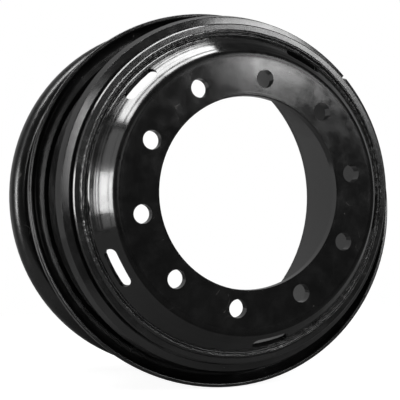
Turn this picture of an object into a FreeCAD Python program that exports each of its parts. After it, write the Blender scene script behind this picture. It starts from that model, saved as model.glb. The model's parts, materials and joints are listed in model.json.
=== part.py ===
"""Tube-type truck disc wheel without its tyre: rim base, disc, weld, loose side ring and split lock ring.

Millimetres. The wheel's axis is Y and Z is up. The origin is the centre of the disc's outer face,
and everything else lies behind that face, towards +Y. Angles are clock angles: 0 is up, and they
grow clockwise as seen from in front of the disc.
"""
import FreeCAD, Part
import math
import os
import re

import Sketcher
from FreeCAD import Placement, Rotation, Vector

# Driving dimensions
SIZES = {
    # disc, from the hub outwards
    "bore_diameter": 281,
    "bore_bevel": 1.5,
    "disc_thickness": 14,
    "bolt_count": 10,
    "bolt_hole": 27,
    "bolt_land": 13.5,
    "bolt_clock": 7.8,
    "nut_land": 22.75,
    "crown_round": 12,
    "crown_inner_round": 8,
    "cone_depth": 45,
    "skirt_length": 27,
    "skirt_wall": 11,
    "skirt_inner_round": 15,
    "slot_count": 5,
    "slot_length": 58,
    "slot_width": 18,
    "slot_depth": 19.5,
    "slot_clock": 25.8,
    # rim base, from its front end backwards
    "seat_diameter": 514.4,
    "rim_ahead": 4,
    "lip_length": 7,
    "lip_height": 5.5,
    "lip_bevel": 1.75,
    "lip_bevel_length": 3,
    "lip_slope": 3,
    "gutter_length": 19,
    "gutter_depth": 10.2,
    "gutter_wall": 6,
    "gutter_slope": 7,
    "seat_length": 41,
    "drop_slope": 12,
    "drop_depth": 5,
    "barrel_length": 106,
    "barrel_wall": 6.2,
    "disc_seat_spare": 10,
    "bore_flare": 10,
    "bead_slope": 14,
    "bead_length": 27,
    "bead_taper": 2.4,
    "bead_heel_round": 6,
    "heel_length": 18,
    "heel_rise": 1.3,
    "heel_round": 5,
    "valve_slot_length": 42,
    "valve_slot_width": 17,
    "valve_slot_set": 30,
    "valve_clock": 169.8,
    # flange contour, which the fixed flange and the side ring share
    "flange_height": 37.3,
    "flange_curl": 22,
    "flange_wall": 8,
    "flange_lip": 6.2,
    "flange_lip_round": 2.4,
    "flange_depth": 32,
    # weld between disc and rim base
    "weld_leg": 3.8,
    "weld_toe": 2.4,
    "weld_height": 5.2,
    "weld_round": 2.2,
    # split lock ring in the gutter
    "lock_set": 6,
    "lock_nose_gap": 2.5,
    "lock_nose_height": 10.5,
    "lock_nose_length": 5,
    "lock_nose_rake": 2.2,
    "lock_nose_round": 1.5,
    "lock_rise": 5,
    "lock_fall": 4,
    "lock_shoulder": 6,
    "lock_overlap": 3,
    "lock_gap": 7,
    "lock_gap_clock": 46,
    "pry_slot_clock": 57.8,
    "pry_slot_length": 29,
    "pry_slot_height": 6.5,
    # loose side ring, its depths from the plane of its lip
    "ring_depth": 30,
    "ring_ease": 4.2,
    "ring_foot_length": 8,
    "ring_foot_bevel": 3.7,
    "ring_foot_height": 7.2,
    "ring_heel_height": 4.1,
    "ring_toe_height": 2.4,
    "ring_set": 40,
    "ring_aside": -2,
    "ring_lean": 8.9,
    "ring_lean_clock": 153.8,
    # running clearance of the lock ring and the disc, and of the side ring where it hangs
    "fit": 0.3,
}

MATHS = {"tan", "atan", "pi"}

# Radii that the driving dimensions give
BOLTS = "(bore_diameter / 2 + bolt_land + bolt_hole / 2)"
CROWN = f"({BOLTS} + bolt_hole / 2 + nut_land)"
SEAT = "(seat_diameter / 2)"
GUTTER = f"({SEAT} - gutter_depth)"
LIP = f"({GUTTER} + lip_height)"
DISC_SEAT = f"({GUTTER} - gutter_wall)"
SKIRT = f"({DISC_SEAT} - fit)"
BARREL = f"({SEAT} - drop_depth)"
BARREL_BORE = f"({BARREL} - barrel_wall)"
FLANGE = f"({SEAT} + flange_height)"
FLANGE_INSIDE = f"({FLANGE} - flange_lip)"
RING_BORE = f"({SEAT} + ring_ease)"
LOCK_NOSE = f"({LIP} + lock_nose_gap)"
LOCK_EDGE = f"({LOCK_NOSE} + lock_nose_height)"
LOCK_CREST = f"({LOCK_EDGE} + lock_rise)"

# Depths behind the disc's outer face
BASE_FRONT = "(cone_depth - rim_ahead)"
LIP_BACK = f"({BASE_FRONT} + lip_length)"
GUTTER_FRONT = f"({LIP_BACK} + lip_slope)"
GUTTER_BACK = f"({GUTTER_FRONT} + gutter_length)"
SEAT_FRONT = f"({GUTTER_BACK} + gutter_slope)"
SEAT_BACK = f"({SEAT_FRONT} + seat_length)"
BARREL_FRONT = f"({SEAT_BACK} + drop_slope)"
BARREL_BACK = f"({BARREL_FRONT} + barrel_length)"
BEAD_START = f"({BARREL_BACK} + bead_slope)"
FLANGE_FACE = f"({BEAD_START} + bead_length)"
FLANGE_BACK = f"({FLANGE_FACE} + flange_wall)"
FLANGE_TIP = f"({FLANGE_FACE} + flange_depth)"
HEEL_BACK = f"({FLANGE_FACE} + heel_length)"
SKIRT_BACK = "(cone_depth + skirt_length)"
DISC_SEAT_BACK = f"({SKIRT_BACK} + disc_seat_spare)"
LOCK_FRONT = f"({GUTTER_FRONT} + lock_set)"
LOCK_FOOT = f"({LOCK_FRONT} + lock_nose_length)"
LOCK_BACK = f"({SEAT_FRONT} + lock_overlap)"

# Outer surface of the rim base from the lock ring to the fixed flange, as depth and radius
BED = [
    (SEAT_FRONT, SEAT),
    (SEAT_BACK, SEAT),
    (BARREL_FRONT, BARREL),
    (BARREL_BACK, BARREL),
    (BEAD_START, f"({SEAT} - bead_taper)"),
    (FLANGE_FACE, SEAT),
]

# Slope of the disc's cone, and the corner inside the bend that leads into it
CONE = f"(cone_depth / ({SKIRT} - {CROWN}))"
INNER_CROWN = f"({CROWN} - disc_thickness * tan(atan({CONE}) / 2))"

# Inside of the flange's curl, and the angle that the lock ring's gap takes out of the circle
FLANGE_ROOT = "flange_curl - flange_wall"
LOCK_SPLIT = f"(lock_gap / {LOCK_CREST} * 180 / pi)"

doc = FreeCAD.newDocument("truck_wheel")
sheet = doc.addObject("Spreadsheet::Sheet", "Sizes")
for row, (alias, number) in enumerate(SIZES.items(), 1):
    sheet.set(f"A{row}", alias)
    sheet.set(f"B{row}", str(number))
    sheet.setAlias(f"B{row}", alias)
doc.recompute()


def bound(text):
    """The expression with every size written as a cell of the sheet."""
    return re.sub(r"[a-z][a-z_]*", lambda word: word[0] if word[0] in MATHS else f"Sizes.{word[0]}", text)


def size(text):
    """The number that an expression of sizes gives."""
    found = sheet.evalExpression(bound(text))
    return float(getattr(found, "Value", found))


def origin_part(body, role):
    return next(item for item in body.Origin.OriginFeatures if item.Role == role)


def new_body(label):
    body = doc.addObject("PartDesign::Body", label)
    body.Label = label
    return body


def new_sketch(body, name, offset=Placement()):
    sketch = body.newObject("Sketcher::SketchObject", name)
    sketch.AttachmentSupport = [(origin_part(body, "XY_Plane"), "")]
    sketch.MapMode = "FlatFace"
    sketch.AttachmentOffset = offset
    return sketch


def driven(sketch, text, *constraint):
    """Adds a constraint whose number is bound to the sheet."""
    place = sketch.addConstraint(Sketcher.Constraint(*constraint, size(text)))
    sketch.setExpression(f"Constraints[{place}]", bound(text))


def outline(body, name, corners, offset=Placement()):
    """Closed outline whose corners are pairs of expressions, each bound to the sheet."""
    sketch = new_sketch(body, name, offset)
    points = [Vector(size(across), size(along), 0) for across, along in corners]
    for start, end in zip(points, points[1:] + points[:1]):
        sketch.addGeometry(Part.LineSegment(start, end))
    for index, (across, along) in enumerate(corners):
        sketch.addConstraint(Sketcher.Constraint("Coincident", index, 2, (index + 1) % len(corners), 1))
        driven(sketch, across, "DistanceX", -1, 1, index, 1)
        driven(sketch, along, "DistanceY", -1, 1, index, 1)
    return sketch


def turned(body, kind, name, sketch, angle="360"):
    """A revolution or groove about the wheel's axis."""
    feature = body.newObject(f"PartDesign::{kind}", name)
    feature.Profile = sketch
    feature.ReferenceAxis = (sketch, ["V_Axis"])
    feature.setExpression("Angle", bound(angle))
    doc.recompute()
    return feature


def dressed(body, kind, name, length, *rings):
    """A fillet or chamfer on the round edges that pass through the given corners of the section."""
    base = body.Tip
    edges = []
    for across, along in rings:
        for index, edge in enumerate(base.Shape.Edges, 1):
            curve = edge.Curve
            if isinstance(curve, Part.Circle) and abs(curve.Axis.y) > 0.999 and abs(curve.Center.x) < 0.01:
                if abs(curve.Radius - size(across)) < 0.01 and abs(curve.Center.y - size(along)) < 0.01:
                    edges.append(f"Edge{index}")
    feature = body.newObject(f"PartDesign::{kind}", name)
    feature.Base = (base, edges)
    feature.setExpression("Radius" if kind == "Fillet" else "Size", bound(length))
    doc.recompute()
    return feature


def stadium(body, name, length, width, offset):
    """Slot outline with round ends about the sketch's origin, its length along the sketch's X."""
    sketch = new_sketch(body, name, offset)
    reach = size(f"({length} - {width}) / 2")
    half = size(f"{width} / 2")
    top = sketch.addGeometry(Part.LineSegment(Vector(-reach, half, 0), Vector(reach, half, 0)))
    base = sketch.addGeometry(Part.LineSegment(Vector(reach, -half, 0), Vector(-reach, -half, 0)))
    right_circle = Part.Circle(Vector(reach, 0, 0), Vector(0, 0, 1), half)
    left_circle = Part.Circle(Vector(-reach, 0, 0), Vector(0, 0, 1), half)
    right = sketch.addGeometry(Part.ArcOfCircle(right_circle, -math.pi / 2, math.pi / 2))
    left = sketch.addGeometry(Part.ArcOfCircle(left_circle, math.pi / 2, 3 * math.pi / 2))
    for line, line_end, arc, arc_end in ((top, 2, right, 2), (base, 1, right, 1),
                                         (base, 2, left, 2), (top, 1, left, 1)):
        sketch.addConstraint(Sketcher.Constraint("Tangent", line, line_end, arc, arc_end))
    sketch.addConstraint(Sketcher.Constraint("Horizontal", top))
    sketch.addConstraint(Sketcher.Constraint("Symmetric", left, 3, right, 3, -1, 1))
    driven(sketch, f"{length} - {width}", "DistanceX", left, 3, right, 3)
    driven(sketch, f"{width} / 2", "Radius", left)
    return sketch


def circle(body, name, radius, offset):
    sketch = new_sketch(body, name, offset)
    ring = sketch.addGeometry(Part.Circle(Vector(), Vector(0, 0, 1), size(radius)))
    sketch.addConstraint(Sketcher.Constraint("Coincident", ring, 3, -1, 1))
    driven(sketch, radius, "Radius", ring)
    return sketch


def cut_through(body, name, sketch, depth):
    """A pocket that runs the same way to both sides of its sketch."""
    pocket = body.newObject("PartDesign::Pocket", name)
    pocket.Profile = sketch
    pocket.Midplane = True
    pocket.setExpression("Length", bound(depth))
    doc.recompute()
    return pocket


def repeated(body, name, feature, count):
    pattern = body.newObject("PartDesign::PolarPattern", name)
    pattern.Originals = [feature]
    pattern.Axis = (origin_part(body, "Y_Axis"), [""])
    pattern.Angle = 360
    pattern.setExpression("Occurrences", bound(count))
    body.Tip = pattern
    doc.recompute()
    return pattern


def clock_turn(clock):
    """Turn about the axis that takes a feature made on the +X side to a clock angle."""
    return Rotation(Vector(0, 1, 0), size(clock) - 90)


def at_clock(clock, radius, depth, frame):
    """Place of a sketch at a clock angle, radius and depth, turned as the frame says at the +X side."""
    turn = clock_turn(clock)
    return Placement(turn.multVec(Vector(size(radius), size(depth), 0)), turn.multiply(frame))


def disc():
    """Pressed disc: flat centre, cone and a skirt that fits inside the rim base."""
    body = new_body("disc")
    bore = "bore_diameter / 2"
    skirt_inside = f"({SKIRT} - skirt_wall)"
    inner_bend = f"(disc_thickness + ({skirt_inside} - {INNER_CROWN}) * {CONE})"
    section = outline(body, "disc_section", [
        (bore, "0"),
        (CROWN, "0"),
        (SKIRT, "cone_depth"),
        (SKIRT, SKIRT_BACK),
        (skirt_inside, SKIRT_BACK),
        (skirt_inside, inner_bend),
        (INNER_CROWN, "disc_thickness"),
        (bore, "disc_thickness"),
    ])
    turned(body, "Revolution", "disc_plate", section)
    dressed(body, "Fillet", "disc_crown", "crown_round", (CROWN, "0"))
    dressed(body, "Fillet", "disc_inner_crown", "crown_inner_round", (INNER_CROWN, "disc_thickness"))
    dressed(body, "Fillet", "disc_inner_bend", "skirt_inner_round", (skirt_inside, inner_bend))
    dressed(body, "Chamfer", "disc_bore_bevel", "bore_bevel", (bore, "0"), (bore, "disc_thickness"))
    cut_hand_holes(body)
    cut_bolt_holes(body)
    return body


def cut_hand_holes(body):
    """Hand holes through the cone, cut square to it."""
    slope = math.atan(size(CONE))
    along = Vector(math.cos(slope), math.sin(slope), 0)
    across = Vector(0, 0, 1)
    frame = Rotation(across, along, across.cross(along), "ZXY")
    offset = at_clock("slot_clock", f"{CROWN} + slot_depth / {CONE}", "slot_depth", frame)
    sketch = stadium(body, "hand_hole_outline", "slot_length", "slot_width", offset)
    hand_hole = cut_through(body, "hand_hole", sketch, "4 * disc_thickness")
    repeated(body, "hand_holes", hand_hole, "slot_count")


def cut_bolt_holes(body):
    """Stud holes, straight through the flat centre."""
    frame = Rotation(Vector(1, 0, 0), Vector(0, 0, -1), Vector(0, 1, 0), "ZXY")
    offset = at_clock("bolt_clock", BOLTS, "0", frame)
    sketch = circle(body, "bolt_hole_outline", "bolt_hole / 2", offset)
    hole = cut_through(body, "bolt_hole", sketch, "3 * disc_thickness")
    repeated(body, "bolt_holes", hole, "bolt_count")


def rim_base():
    """Rolled rim base: gutter at the front, barrel, tapered bead seat and the fixed rear flange."""
    body = new_body("rim_base")
    heel = f"({SEAT} + heel_rise)"
    section = outline(body, "rim_section", [
        (DISC_SEAT, BASE_FRONT),
        (f"{LIP} - lip_bevel", BASE_FRONT),
        (LIP, f"{BASE_FRONT} + lip_bevel_length"),
        (LIP, LIP_BACK),
        (GUTTER, GUTTER_FRONT),
        (GUTTER, GUTTER_BACK),
        *[(radius, depth) for depth, radius in BED],
        (FLANGE, FLANGE_FACE),
        (FLANGE, FLANGE_TIP),
        (FLANGE_INSIDE, FLANGE_TIP),
        (FLANGE_INSIDE, FLANGE_BACK),
        (f"{heel} + heel_length - flange_wall", FLANGE_BACK),
        (heel, HEEL_BACK),
        (BARREL_BORE, HEEL_BACK),
        (BARREL_BORE, f"{DISC_SEAT_BACK} + bore_flare"),
        (DISC_SEAT, DISC_SEAT_BACK),
    ])
    turned(body, "Revolution", "rim_roll", section)
    dressed(body, "Fillet", "rim_curl", "flange_curl", (FLANGE, FLANGE_FACE))
    dressed(body, "Fillet", "rim_bead_heel", "bead_heel_round", (SEAT, FLANGE_FACE))
    dressed(body, "Fillet", "rim_root", FLANGE_ROOT, (FLANGE_INSIDE, FLANGE_BACK))
    dressed(body, "Fillet", "rim_tip", "flange_lip_round", (FLANGE, FLANGE_TIP), (FLANGE_INSIDE, FLANGE_TIP))
    dressed(body, "Fillet", "rim_heel", "heel_round", (BARREL_BORE, HEEL_BACK))
    cut_valve_slot(body)
    return body


def cut_valve_slot(body):
    """Slot through the barrel for the tube's valve."""
    frame = Rotation(Vector(0, 1, 0), Vector(0, 0, 1), Vector(1, 0, 0), "ZXY")
    offset = at_clock("valve_clock", BARREL, f"{BARREL_FRONT} + valve_slot_set", frame)
    sketch = stadium(body, "valve_slot_outline", "valve_slot_length", "valve_slot_width", offset)
    cut_through(body, "valve_slot", sketch, "4 * barrel_wall")


def disc_weld():
    """Fillet weld that runs round between the cone and the front end of the rim base."""
    body = new_body("disc_weld")
    start_depth = f"({BASE_FRONT} - weld_leg)"
    start = f"({CROWN} + {start_depth} / {CONE})"
    toe = f"({DISC_SEAT} + weld_toe)"
    crest = (f"({start} + {toe}) / 2", f"{BASE_FRONT} - weld_height")
    section = outline(body, "weld_section", [
        (start, start_depth),
        crest,
        (toe, BASE_FRONT),
        (DISC_SEAT, BASE_FRONT),
        (DISC_SEAT, "cone_depth"),
        (SKIRT, "cone_depth"),
    ])
    turned(body, "Revolution", "weld_bead", section)
    dressed(body, "Fillet", "weld_crown", "weld_round", crest)
    return body


def lock_ring():
    """Split ring: its foot lies in the gutter and its shoulder keeps the side ring on."""
    body = new_body("lock_ring")
    foot = f"({GUTTER} + fit)"
    seat = f"({SEAT} + fit)"
    edge = (LOCK_EDGE, f"{LOCK_FRONT} + lock_nose_rake")
    crest = (LOCK_CREST, f"{LOCK_BACK} - lock_shoulder")
    gap_turn = clock_turn(f"lock_gap_clock + {LOCK_SPLIT} / 2")
    section = outline(body, "lock_section", [
        (LOCK_NOSE, LOCK_FRONT),
        edge,
        crest,
        (f"{LOCK_CREST} - lock_fall", LOCK_BACK),
        (seat, LOCK_BACK),
        (seat, f"{SEAT_FRONT} - fit"),
        (foot, f"{GUTTER_BACK} - fit"),
        (foot, LOCK_FOOT),
        (LOCK_NOSE, LOCK_FOOT),
    ], Placement(Vector(), gap_turn))
    turned(body, "Revolution", "lock_bar", section, f"360 - {LOCK_SPLIT}")
    dressed(body, "Fillet", "lock_edges", "lock_nose_round", edge, crest)
    cut_pry_slot(body)
    return body


def cut_pry_slot(body):
    """Notch under the nose of the lock ring for the lever that lifts it out."""
    span = f"(pry_slot_length / {LOCK_EDGE} * 180 / pi)"
    top = f"{LOCK_NOSE} + pry_slot_height"
    sketch = outline(body, "pry_slot_section", [
        (LOCK_NOSE, LOCK_FRONT),
        (top, LOCK_FRONT),
        (top, LOCK_FOOT),
        (LOCK_NOSE, LOCK_FOOT),
    ], Placement(Vector(), clock_turn(f"pry_slot_clock - {span} / 2")))
    turned(body, "Groove", "pry_slot", sketch, span)


def side_ring():
    """Removable front flange: one endless ring, hung loose and askew on the barrel."""
    body = new_body("side_ring")
    hollow = "(ring_depth - flange_wall)"
    foot_back = "(ring_depth + ring_foot_length)"
    section = outline(body, "ring_section", [
        (FLANGE, "0"),
        (FLANGE, "ring_depth"),
        (f"{RING_BORE} + ring_heel_height", "ring_depth"),
        (f"{RING_BORE} + ring_toe_height", foot_back),
        (RING_BORE, foot_back),
        (RING_BORE, "ring_depth - ring_foot_bevel"),
        (f"{RING_BORE} + ring_foot_height", hollow),
        (FLANGE_INSIDE, hollow),
        (FLANGE_INSIDE, "0"),
    ])
    turned(body, "Revolution", "ring_roll", section)
    dressed(body, "Fillet", "ring_curl", "flange_curl", (FLANGE, "ring_depth"))
    dressed(body, "Fillet", "ring_root", FLANGE_ROOT, (FLANGE_INSIDE, hollow))
    dressed(body, "Fillet", "ring_tip", "flange_lip_round", (FLANGE, "0"), (FLANGE_INSIDE, "0"))
    body.Placement = ring_place()
    return body


def bed_radius(depth):
    """Radius of the rim base's outer surface, with the fit, where the side ring can touch it."""
    places = [(size(bed_depth), size(radius) + size("fit")) for bed_depth, radius in BED]
    for (start, before), (end, after) in zip(places, places[1:]):
        if start <= depth <= end:
            return before + (after - before) * (depth - start) / (end - start)
    return places[0][1]


def ring_place():
    """Lean the ring, then lower it until its bore hangs on the rim base."""
    clock = math.radians(size("ring_lean_clock"))
    lean = Rotation(Vector(math.cos(clock), 0, -math.sin(clock)), size("ring_lean"))
    start = Vector(size("ring_aside"), size(f"{SEAT_FRONT} + ring_set"), 0)
    bore = size(RING_BORE)
    drops = []
    for depth in (size("ring_depth - ring_foot_bevel"), size("ring_depth + ring_foot_length")):
        for degrees in range(-60, 61):
            turn = math.radians(degrees)
            point = start + lean.multVec(Vector(bore * math.sin(turn), depth, bore * math.cos(turn)))
            drops.append(point.z - math.sqrt(bed_radius(point.y) ** 2 - point.x ** 2))
    return Placement(start - Vector(0, 0, min(drops)), lean)


parts = [rim_base(), disc(), disc_weld(), side_ring(), lock_ring()]
doc.recompute()

for item in doc.Objects:
    if "Invalid" in item.State or "Error" in item.State:
        raise RuntimeError(f"{item.Label} failed: {item.State}")
for part in parts:
    if part.Shape.isNull() or not part.Shape.isValid() or len(part.Shape.Solids) != 1:
        raise RuntimeError(f"{part.Label} is not one valid solid")

os.makedirs("parts", exist_ok=True)
for part in parts:
    part.Shape.exportStep(f"parts/{part.Label}.step")
    box = part.Shape.BoundBox
    print(f"{part.Label}: {part.Shape.Volume / 1000:.1f} cm3, Y {box.YMin:.1f} to {box.YMax:.1f}")
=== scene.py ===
"""Looks of the truck wheel: worn black paint, weld bead, soft edges, studio light and camera.

Metres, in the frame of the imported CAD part; sections are in millimetres. Angles are clock angles
about the wheel's axis: 0 is up, and they grow clockwise as seen from in front of the disc.
"""
import json
import math

import bmesh
import bpy
from mathutils import Matrix, Quaternion, Vector, noise

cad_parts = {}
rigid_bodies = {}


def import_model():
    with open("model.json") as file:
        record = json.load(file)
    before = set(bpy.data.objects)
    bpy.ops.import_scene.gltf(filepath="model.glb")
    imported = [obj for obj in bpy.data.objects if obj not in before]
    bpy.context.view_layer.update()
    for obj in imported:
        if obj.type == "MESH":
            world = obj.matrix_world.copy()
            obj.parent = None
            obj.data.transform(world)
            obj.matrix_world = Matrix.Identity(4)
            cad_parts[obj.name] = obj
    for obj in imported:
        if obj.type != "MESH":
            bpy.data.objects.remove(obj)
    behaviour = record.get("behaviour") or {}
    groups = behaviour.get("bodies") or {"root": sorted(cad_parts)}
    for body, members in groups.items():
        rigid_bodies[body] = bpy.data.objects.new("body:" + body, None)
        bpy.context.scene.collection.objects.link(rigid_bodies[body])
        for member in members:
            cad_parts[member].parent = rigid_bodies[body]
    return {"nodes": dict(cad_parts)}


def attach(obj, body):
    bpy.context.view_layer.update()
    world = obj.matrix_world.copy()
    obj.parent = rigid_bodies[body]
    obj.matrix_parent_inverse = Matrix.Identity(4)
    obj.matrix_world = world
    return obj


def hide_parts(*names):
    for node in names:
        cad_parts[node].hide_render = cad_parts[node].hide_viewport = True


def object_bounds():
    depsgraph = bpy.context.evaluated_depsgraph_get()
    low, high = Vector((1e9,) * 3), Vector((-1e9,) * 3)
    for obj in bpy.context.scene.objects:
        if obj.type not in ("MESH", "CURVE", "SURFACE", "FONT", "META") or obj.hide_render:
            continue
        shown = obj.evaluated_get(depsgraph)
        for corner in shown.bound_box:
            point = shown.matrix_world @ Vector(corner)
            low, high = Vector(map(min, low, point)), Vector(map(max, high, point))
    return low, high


for leftover in list(bpy.data.objects):
    bpy.data.objects.remove(leftover)
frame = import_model()
CAD_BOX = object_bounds()
NODES = frame["nodes"]
MM = 0.001

# Camera, fitted to the stud holes and the bore in the photograph
CAMERA_PLACE = Vector((-0.5556, -1.2000, -0.0287))
CAMERA_AHEAD = Vector((0.36817, 0.92963, 0.01414))
CAMERA_UP = Vector((0.0, -0.01521, 0.99977))
FOCAL_PIXELS = 915.8
FRAME_PIXELS = 400
SENSOR = 36.0

# Outer face of the disc as radius and depth (millimetres), and how much of the solid's wall is left
# behind each of its corners, for the thin cone that the photograph shows. What lies in the skin stays.
DISC_PROFILE = [(190.0, 0.0), (203.75, 0.0), (240.7, 45.0), (240.7, 72.0)]
WALL_SHARE = [1.0, 0.6, 0.4, 0.5]
OUTER_SKIN = 3.0
CONE_SLOPE = 45.0 / 36.95

# Hand holes: middle on the cone, half sizes, and how the photograph shows them wider and further out
HOLE_MIDDLE = Vector((219.76, 19.5))
HOLE_CLOCK = 25.8
HOLE_STEP = 72
HOLE_HALF = (29.5, 9.5)
HOLE_GROWTH = 0.17
HOLE_SHIFT = 3.2

# Front end of the rim base: depth of its face, and radius and depths of the bevel on its lip (millimetres)
END_DEPTH = 41.0
LIP_RADIUS = 252.5
LIP_BEVEL = (43.0, 45.0)
LIP_BEVEL_SHOWN = 42.8

# Weld between the cone and the front end of the rim base: two runs with a groove between (millimetres)
WELD_INNER = 234.2
WELD_GROOVE = 237.7
WELD_OUTER = 244.0
WELD_ROOT = (239.0, 43.6)
INNER_RISE = 1.8
OUTER_RISE = 5.0
GROOVE_DEPTH = 1.2
CREST_INSET = 4.3
WELD_STEPS = 2160

# Clock angle and half width of the weld's lump and of its rough overlap
LUMP = (265, 4)
OVERLAP = (346, 8)

FLAT_EDGE = math.radians(0.3)
SHARP_EDGE = math.radians(24)
LAMP_TARGET = Vector((0.0, 0.1, 0.0))
FLOOR_HEIGHT = CAD_BOX[0][2]
WHITE = (1.0, 1.0, 1.0, 1.0)
DUST_COLOUR = (0.14, 0.135, 0.13, 1.0)
PAINT_GLOSS = 0.8


class Graph:
    """Short way to add and join shader nodes."""

    def __init__(self, tree):
        self.tree = tree
        tree.nodes.clear()

    def node(self, kind, inputs=None, **settings):
        made = self.tree.nodes.new(kind)
        for name, setting in settings.items():
            setattr(made, name, setting)
        for name, given in (inputs or {}).items():
            socket = made.inputs[name]
            if isinstance(given, bpy.types.NodeSocket):
                self.tree.links.new(given, socket)
            else:
                socket.default_value = given
        return made

    def math(self, operation, *given):
        return self.node("ShaderNodeMath", dict(enumerate(given)), operation=operation).outputs[0]

    def total(self, *given):
        added = given[0]
        for one in given[1:]:
            added = self.math("ADD", added, one)
        return added

    def product(self, *given):
        result = given[0]
        for one in given[1:]:
            result = self.math("MULTIPLY", result, one)
        return result

    def ramp(self, given, low, high, start=0.0, end=1.0):
        limits = {"Value": given, "From Min": low, "From Max": high, "To Min": start, "To Max": end}
        return self.node("ShaderNodeMapRange", limits, interpolation_type="SMOOTHSTEP").outputs[0]

    def noise(self, scale, detail, vector, roughness=0.5):
        inputs = {"Vector": vector, "Scale": scale, "Detail": detail, "Roughness": roughness}
        return self.node("ShaderNodeTexNoise", inputs).outputs[0]

    def line_noise(self, scale, detail, along, roughness=0.5):
        inputs = {"W": along, "Scale": scale, "Detail": detail, "Roughness": roughness}
        return self.node("ShaderNodeTexNoise", inputs, noise_dimensions="1D").outputs[0]


class Spot:
    """Place of a shaded point: object coordinates, radius, clock angle and depth about the wheel's axis."""

    def __init__(self, graph):
        self.place = graph.node("ShaderNodeTexCoord").outputs["Object"]
        across, self.depth, up = graph.node("ShaderNodeSeparateXYZ", {0: self.place}).outputs
        squares = graph.total(graph.product(across, across), graph.product(up, up))
        self.radius = graph.math("SQRT", squares)
        self.clock = graph.math("ARCTAN2", across, up)


def dust_specks(graph, spot):
    """Mask of a few round specks of dust."""
    specks = graph.node("ShaderNodeTexVoronoi", {"Vector": spot.place, "Scale": 150.0}).outputs
    pick = graph.node("ShaderNodeSeparateXYZ", {0: specks["Color"]}).outputs[0]
    return graph.product(graph.ramp(specks["Distance"], 0.05, 0.12, 1.0, 0.0), graph.ramp(pick, 0.955, 0.965))


def worn_colour(graph, spot, tone, smudge, dust):
    """Black in broad mottles and finer smudges, with pale dust and hairline scratches."""
    mottle = graph.noise(9.0, 4.0, spot.place)
    line = graph.math("ABSOLUTE", graph.math("SUBTRACT", graph.noise(17.0, 1.0, spot.place), 0.5))
    scratch = graph.product(graph.ramp(line, 0.0, 0.004, 1.0, 0.0), graph.ramp(smudge, 0.56, 0.66, 0.0, 0.5))
    marks = graph.math("MAXIMUM", dust, scratch)
    shade = graph.product(graph.ramp(mottle, 0.3, 0.7, 0.75, 1.25), graph.ramp(smudge, 0.35, 0.75, 0.8, 1.5))
    shaded = {0: (tone, tone, tone), "Scale": shade}
    clean = graph.node("ShaderNodeVectorMath", shaded, operation="SCALE").outputs[0]
    marked = {"Fac": marks, "Color1": clean, "Color2": DUST_COLOUR}
    return graph.node("ShaderNodeMixRGB", marked).outputs[0]


def black_paint(name, tone, roughness, detail=None):
    """Semi-gloss black paint with orange peel. A detail changes its height, roughness and gloss by place."""
    material = bpy.data.materials.new(name)
    material.use_nodes = True
    graph = Graph(material.node_tree)
    spot = Spot(graph)
    smudge = graph.noise(38.0, 5.0, spot.place, 0.65)
    dust = dust_specks(graph, spot)
    colour = worn_colour(graph, spot, tone, smudge, dust)
    peel = graph.product(graph.noise(420.0, 2.0, spot.place), 0.012 * MM)
    waves = graph.product(graph.noise(26.0, 2.0, spot.place), 0.10 * MM)
    uneven = graph.ramp(smudge, 0.3, 0.75, roughness - 0.03, roughness + 0.06)
    look = {"height": graph.total(peel, waves),
            "rough": graph.total(uneven, graph.product(dust, 0.3)),
            "gloss": PAINT_GLOSS}
    if detail:
        detail(graph, spot, look)
    bump = graph.node("ShaderNodeBump", {"Height": look["height"], "Distance": 1.0}).outputs[0]
    inputs = {"Base Color": colour, "Roughness": look["rough"], "Normal": bump,
              "Specular IOR Level": look["gloss"]}
    surface = graph.node("ShaderNodeBsdfPrincipled", inputs)
    graph.node("ShaderNodeOutputMaterial", {"Surface": surface.outputs[0]})
    return material


def spun_cone(graph, spot, look):
    """Ridges that spinning leaves round the bulging cone, the dull crown and the step at the bore."""
    start, middle, end = 0.206, 0.2195, 0.237
    bulge = 0.6 * MM
    on_cone = graph.product(graph.ramp(spot.radius, start, 0.209), graph.ramp(spot.radius, 0.243, 0.238))
    rising = graph.ramp(spot.radius, start, middle, 0.0, bulge)
    falling = graph.ramp(spot.radius, middle, end, 0.0, -bulge)
    broad = graph.product(graph.line_noise(170.0, 1.0, spot.radius), 0.16 * MM)
    narrow = graph.product(graph.line_noise(620.0, 2.0, spot.radius, 0.6), 0.030 * MM)
    ridges = graph.product(graph.total(broad, narrow), on_cone)
    crown = graph.ramp(spot.radius, 0.188, 0.203, 0.0, 0.09 * MM)
    bore_edge = graph.ramp(spot.radius, 0.1452, 0.1464, 0.012 * MM, 0.0)
    dull = graph.product(graph.ramp(spot.radius, 0.193, 0.2005), graph.ramp(spot.radius, 0.2078, 0.2062))
    look["height"] = graph.total(look["height"], rising, falling, ridges, crown, bore_edge)
    look["rough"] = graph.total(look["rough"], graph.product(dull, 0.14))
    look["gloss"] = graph.ramp(dull, 0.0, 1.0, look["gloss"], 0.2)


def sheared_end(graph, spot, look):
    """Sheared end of the rim base with fine radial marks, and the duller paint of its rear flange."""
    on_face = graph.ramp(spot.depth, (END_DEPTH + 0.8) * MM, (END_DEPTH + 0.4) * MM)
    on_end = graph.product(on_face, graph.ramp(spot.radius, LIP_RADIUS * MM, (LIP_RADIUS - 2.0) * MM))
    marks = graph.product(graph.line_noise(120.0, 3.0, spot.clock, 0.7), 0.07 * MM)
    flange = graph.ramp(spot.depth, 0.277, 0.285, 0.0, 0.12)
    look["height"] = graph.total(look["height"], graph.product(marks, on_end))
    look["rough"] = graph.total(look["rough"], graph.product(on_end, 0.06), flange)


def grainy(graph, spot, look):
    """Fine grain of thin paint over a rolled surface."""
    grain = graph.product(graph.noise(900.0, 3.0, spot.place, 0.6), 0.007 * MM)
    look["height"] = graph.total(look["height"], grain)


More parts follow.
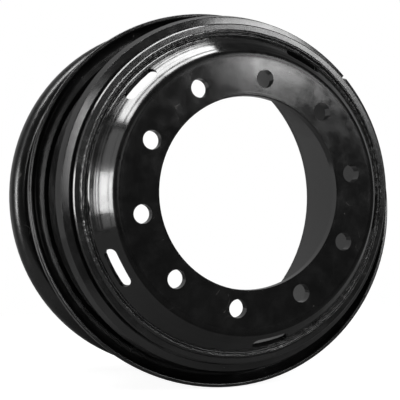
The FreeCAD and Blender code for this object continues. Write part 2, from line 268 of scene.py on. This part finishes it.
def weld_ripples(graph, spot, look):
    """Small ripples across the weld bead."""
    ripples = graph.product(graph.line_noise(150.0, 3.0, spot.clock, 0.6), 0.25 * MM)
    look["height"] = graph.total(look["height"], ripples)


def add_piece(name, mesh, node, material):
    """Shows a mesh in place of a CAD node."""
    piece = bpy.data.objects.new(name, mesh)
    bpy.context.collection.objects.link(piece)
    mesh.materials.clear()
    mesh.materials.append(material)
    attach(piece, "root")
    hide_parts(node)
    return piece


def widened_hole(radius, clock, depth):
    """Moves the wall of a hand hole to where the photograph shows it."""
    slope = Vector((1.0, CONE_SLOPE)).normalized()
    turn = math.radians((clock - HOLE_CLOCK + HOLE_STEP / 2) % HOLE_STEP - HOLE_STEP / 2)
    along, out = radius * math.sin(turn), radius * math.cos(turn)
    across = (Vector((out, depth)) - HOLE_MIDDLE).dot(slope)
    if abs(along) < HOLE_HALF[0] and abs(across) < HOLE_HALF[1]:
        moved = Vector((out, depth)) + slope * (HOLE_GROWTH * across + HOLE_SHIFT)
        radius, depth = math.hypot(along, moved.x), moved.y
    return radius, depth


def thinned_wall(radius, depth):
    """Moves the inner face of the disc towards the outer one, outside the flat centre."""
    point = Vector((radius, depth))
    nearest, share = None, 1.0
    for index in range(len(DISC_PROFILE) - 1):
        start, end = Vector(DISC_PROFILE[index]), Vector(DISC_PROFILE[index + 1])
        part = min(1.0, max(0.0, (point - start).dot(end - start) / (end - start).length_squared))
        foot = start.lerp(end, part)
        if nearest is None or (point - foot).length < (point - nearest).length:
            nearest, share = foot, WALL_SHARE[index] + (WALL_SHARE[index + 1] - WALL_SHARE[index]) * part
    if radius > DISC_PROFILE[0][0] and (point - nearest).length > OUTER_SKIN:
        point = nearest.lerp(point, share)
    return point.x, point.y


def shown_disc(radius, clock, depth):
    """Section of the disc with the thin cone and the wider hand holes of the photograph."""
    return thinned_wall(*widened_hole(radius, clock, depth))


def bright_lip(radius, clock, depth):
    """Turns the bevel of the rim base's lip to the even slope that catches the light in the photograph."""
    on_bevel = abs(radius - LIP_RADIUS) < 0.2 and LIP_BEVEL[0] < depth < LIP_BEVEL[1]
    return radius, LIP_BEVEL_SHOWN if on_bevel else depth


def softened(node, width, material, reshape=None):
    """Copy of a CAD node whose sharp edges are rounded off as paint and handling leave them."""
    mesh = bpy.data.meshes.new(f"{node}_soft")
    work = bmesh.new()
    work.from_mesh(NODES[node].data)
    bmesh.ops.remove_doubles(work, verts=work.verts, dist=0.001 * MM)
    for corner in work.verts if reshape else []:
        radius = math.hypot(corner.co.x, corner.co.z)
        clock = math.degrees(math.atan2(corner.co.x, corner.co.z))
        shown, depth = reshape(radius / MM, clock, corner.co.y / MM)
        corner.co = Vector((corner.co.x * shown * MM / radius, depth * MM, corner.co.z * shown * MM / radius))
    bmesh.ops.dissolve_limit(work, angle_limit=FLAT_EDGE, verts=work.verts, edges=work.edges)
    work.to_mesh(mesh)
    work.free()
    if "custom_normal" in mesh.attributes:
        mesh.attributes.remove(mesh.attributes["custom_normal"])
    mesh.shade_smooth()
    piece = add_piece(f"{node}_soft", mesh, node, material)
    edge = piece.modifiers.new("edge", "BEVEL")
    edge.width = width * MM
    edge.segments = 3
    edge.limit_method = "ANGLE"
    edge.angle_limit = SHARP_EDGE
    weigh = piece.modifiers.new("weigh", "WEIGHTED_NORMAL")
    weigh.keep_sharp = False


def around(turn, cells, seed):
    """Smooth noise of -1 to 1 that closes round the circle, with about so many cells in a turn."""
    reach = cells / (2 * math.pi)
    return noise.noise(Vector((reach * math.cos(turn), reach * math.sin(turn), seed)))


def swell(clock, middle, half_width):
    """Bump of height 1 about a clock angle, down to 0 at its ends."""
    away = abs((clock - middle + 180) % 360 - 180) / half_width
    return (1 - away * away) ** 2 if away < 1 else 0.0


def weld_section(clock):
    """Uneven bead of two runs, with a lump where a run ends and a rough overlap near the top."""
    turn = math.radians(clock)
    lump = swell(clock, *LUMP)
    rough = 1 + 1.2 * swell(clock, *OVERLAP) + 0.5 * lump

    def slow(seed):
        return around(turn, 40, seed)

    def middle(seed):
        return around(turn, 210, seed)

    def fine(seed):
        return around(turn, 620, seed)

    def cone(radius):
        return (radius - DISC_PROFILE[1][0]) * CONE_SLOPE

    inner = WELD_INNER + 0.8 * slow(1) + 0.4 * middle(2)
    outer = WELD_OUTER + 0.7 * slow(3) + rough * (0.5 * middle(4) + 0.2 * fine(5)) + 3.0 * lump
    inner_rise = INNER_RISE + 0.5 * slow(6) + rough * (0.4 * middle(7) + 0.15 * fine(8))
    groove = GROOVE_DEPTH + 0.5 * slow(9) + 0.6 * middle(10)
    outer_rise = OUTER_RISE + 0.4 * slow(11) + rough * (0.6 * middle(12) + 0.3 * fine(13)) + 2.4 * lump
    split = WELD_GROOVE + 0.5 * slow(14) + 0.3 * middle(15)
    crest = outer - CREST_INSET + 0.5 * middle(16)
    return [
        (inner - 0.3, cone(inner - 0.3) + 0.3),
        (inner + 0.2, cone(inner + 0.2) - 0.55 * inner_rise),
        (inner + 1.0, cone(inner + 1.0) - inner_rise),
        (inner + 2.1, cone(inner + 2.1) - 1.05 * inner_rise),
        (split - 0.9, cone(inner + 2.1) - inner_rise + 0.5 * groove),
        (split, cone(inner + 2.1) - inner_rise + 1.35 * groove),
        (split + 0.8, END_DEPTH - outer_rise + 0.8 * groove),
        (crest - 0.7, END_DEPTH - outer_rise),
        (crest + 0.2, END_DEPTH - outer_rise + 0.15),
        ((crest + outer) / 2 + 0.1, END_DEPTH - 0.55 * outer_rise),
        (outer - 0.3, END_DEPTH - 0.12 * outer_rise),
        (outer, END_DEPTH + 0.3),
        WELD_ROOT,
    ]


def weld_bead(material):
    """Closed bead round the wheel, from a section that changes at each step."""
    rings = [weld_section(360 * step / WELD_STEPS) for step in range(WELD_STEPS)]
    count = len(rings[0])
    places, faces = [], []
    for step, ring in enumerate(rings):
        turn = 2 * math.pi * step / WELD_STEPS
        for radius, depth in ring:
            places.append((radius * MM * math.sin(turn), depth * MM, radius * MM * math.cos(turn)))
        here, after = step * count, ((step + 1) % WELD_STEPS) * count
        for index in range(count):
            beside = (index + 1) % count
            faces.append((here + index, here + beside, after + beside, after + index))
    mesh = bpy.data.meshes.new("weld_bead")
    mesh.from_pydata(places, [], faces)
    mesh.shade_smooth()
    add_piece("weld_bead", mesh, "disc_weld", material)


def softbox(name, azimuth, elevation, distance, width, height, power, roll=0.0):
    """Area lamp that faces the wheel; its azimuth counts from the front towards the right."""
    lamp = bpy.data.lights.new(name, "AREA")
    lamp.shape = "RECTANGLE"
    lamp.size = width
    lamp.size_y = height
    lamp.energy = power
    light = bpy.data.objects.new(name, lamp)
    bpy.context.collection.objects.link(light)
    side, rise = math.radians(azimuth), math.radians(elevation)
    aim = Vector((math.sin(side) * math.cos(rise), -math.cos(side) * math.cos(rise), math.sin(rise)))
    light.location = LAMP_TARGET + aim * distance
    spin = Quaternion((0.0, 0.0, 1.0), math.radians(roll))
    light.rotation_euler = (aim.to_track_quat("Z", "Y") @ spin).to_euler()
    light.visible_camera = False


def room():
    """Dark room with a white backdrop that the camera sees whole and the paint mirrors in part."""
    world = bpy.data.worlds.new("studio")
    bpy.context.scene.world = world
    world.use_nodes = True
    graph = Graph(world.node_tree)
    direction = graph.node("ShaderNodeTexCoord").outputs["Generated"]
    back = graph.ramp(graph.node("ShaderNodeSeparateXYZ", {0: direction}).outputs[1], 0.3, 0.7)
    rays = graph.node("ShaderNodeLightPath").outputs
    mirrored = graph.math("MAXIMUM", rays["Is Glossy Ray"], rays["Is Transmission Ray"])
    shown = graph.math("MAXIMUM", rays["Is Camera Ray"], graph.product(mirrored, back, 0.35))
    dark = graph.node("ShaderNodeBackground", {"Color": WHITE, "Strength": 0.05})
    bright = graph.node("ShaderNodeBackground", {"Color": WHITE, "Strength": 1.0})
    both = graph.node("ShaderNodeMixShader", {0: shown, 1: dark.outputs[0], 2: bright.outputs[0]})
    graph.node("ShaderNodeOutputWorld", {"Surface": both.outputs[0]})


def lamps():
    """Softboxes that give the cone its highlights and the upper right of the disc its sheen."""
    softbox("left_box", azimuth=-80.5, elevation=1.5, distance=2.4, width=0.5, height=0.8, power=15.5)
    softbox("left_glow", azimuth=-80.5, elevation=9, distance=2.5, width=0.5, height=2.4, power=4)
    softbox("top_box", azimuth=-90, elevation=68.5, distance=1.65, width=0.24, height=1.9, power=18, roll=15)
    softbox("front_right_box", azimuth=33, elevation=25.5, distance=2.6, width=0.88, height=1.25, power=35)
    softbox("front_left_box", azimuth=-10, elevation=11, distance=2.6, width=0.45, height=1.0, power=8)


def floor():
    """Pale paper under the wheel, white to the camera apart from the wheel's shadow."""
    front, back, side = -0.5, 1.2, 0.9
    mesh = bpy.data.meshes.new("floor")
    corners = [(-side, front), (side, front), (side, back), (-side, back)]
    mesh.from_pydata([(x, y, FLOOR_HEIGHT) for x, y in corners], [], [(0, 1, 2, 3)])
    paper = bpy.data.objects.new("floor", mesh)
    bpy.context.collection.objects.link(paper)
    material = bpy.data.materials.new("floor_paper")
    material.use_nodes = True
    graph = Graph(material.node_tree)
    rays = graph.node("ShaderNodeLightPath").outputs
    shown = graph.math("MAXIMUM", rays["Is Camera Ray"], rays["Is Transmission Ray"])
    sheet = graph.node("ShaderNodeBsdfDiffuse", {"Color": (0.3, 0.3, 0.3, 1)})
    glow = graph.node("ShaderNodeEmission", {"Color": WHITE, "Strength": graph.product(shown, 0.93)})
    both = graph.node("ShaderNodeAddShader", {0: sheet.outputs[0], 1: glow.outputs[0]})
    graph.node("ShaderNodeOutputMaterial", {"Surface": both.outputs[0]})
    mesh.materials.append(material)


def camera():
    """Camera at the photograph's place, with its angle of view."""
    data = bpy.data.cameras.new("camera")
    data.sensor_width = SENSOR
    data.lens = FOCAL_PIXELS / FRAME_PIXELS * SENSOR
    view = bpy.data.objects.new("camera", data)
    bpy.context.collection.objects.link(view)
    ahead = CAMERA_AHEAD.normalized()
    right = ahead.cross(CAMERA_UP).normalized()
    turn = Matrix((right, right.cross(ahead), -ahead)).transposed().to_4x4()
    view.matrix_world = Matrix.Translation(CAMERA_PLACE) @ turn
    bpy.context.scene.camera = view


softened("disc", 0.5, black_paint("disc_black", 0.006, 0.14, spun_cone), shown_disc)
softened("rim_base", 0.4, black_paint("rim_black", 0.006, 0.17, sheared_end), bright_lip)
softened("side_ring", 1.4, black_paint("side_ring_black", 0.005, 0.22))
softened("lock_ring", 0.7, black_paint("lock_ring_black", 0.012, 0.17, grainy))
weld_bead(black_paint("weld_black", 0.012, 0.24, weld_ripples))
room()
lamps()
floor()
camera()
bpy.context.scene.view_settings.view_transform = "Standard"
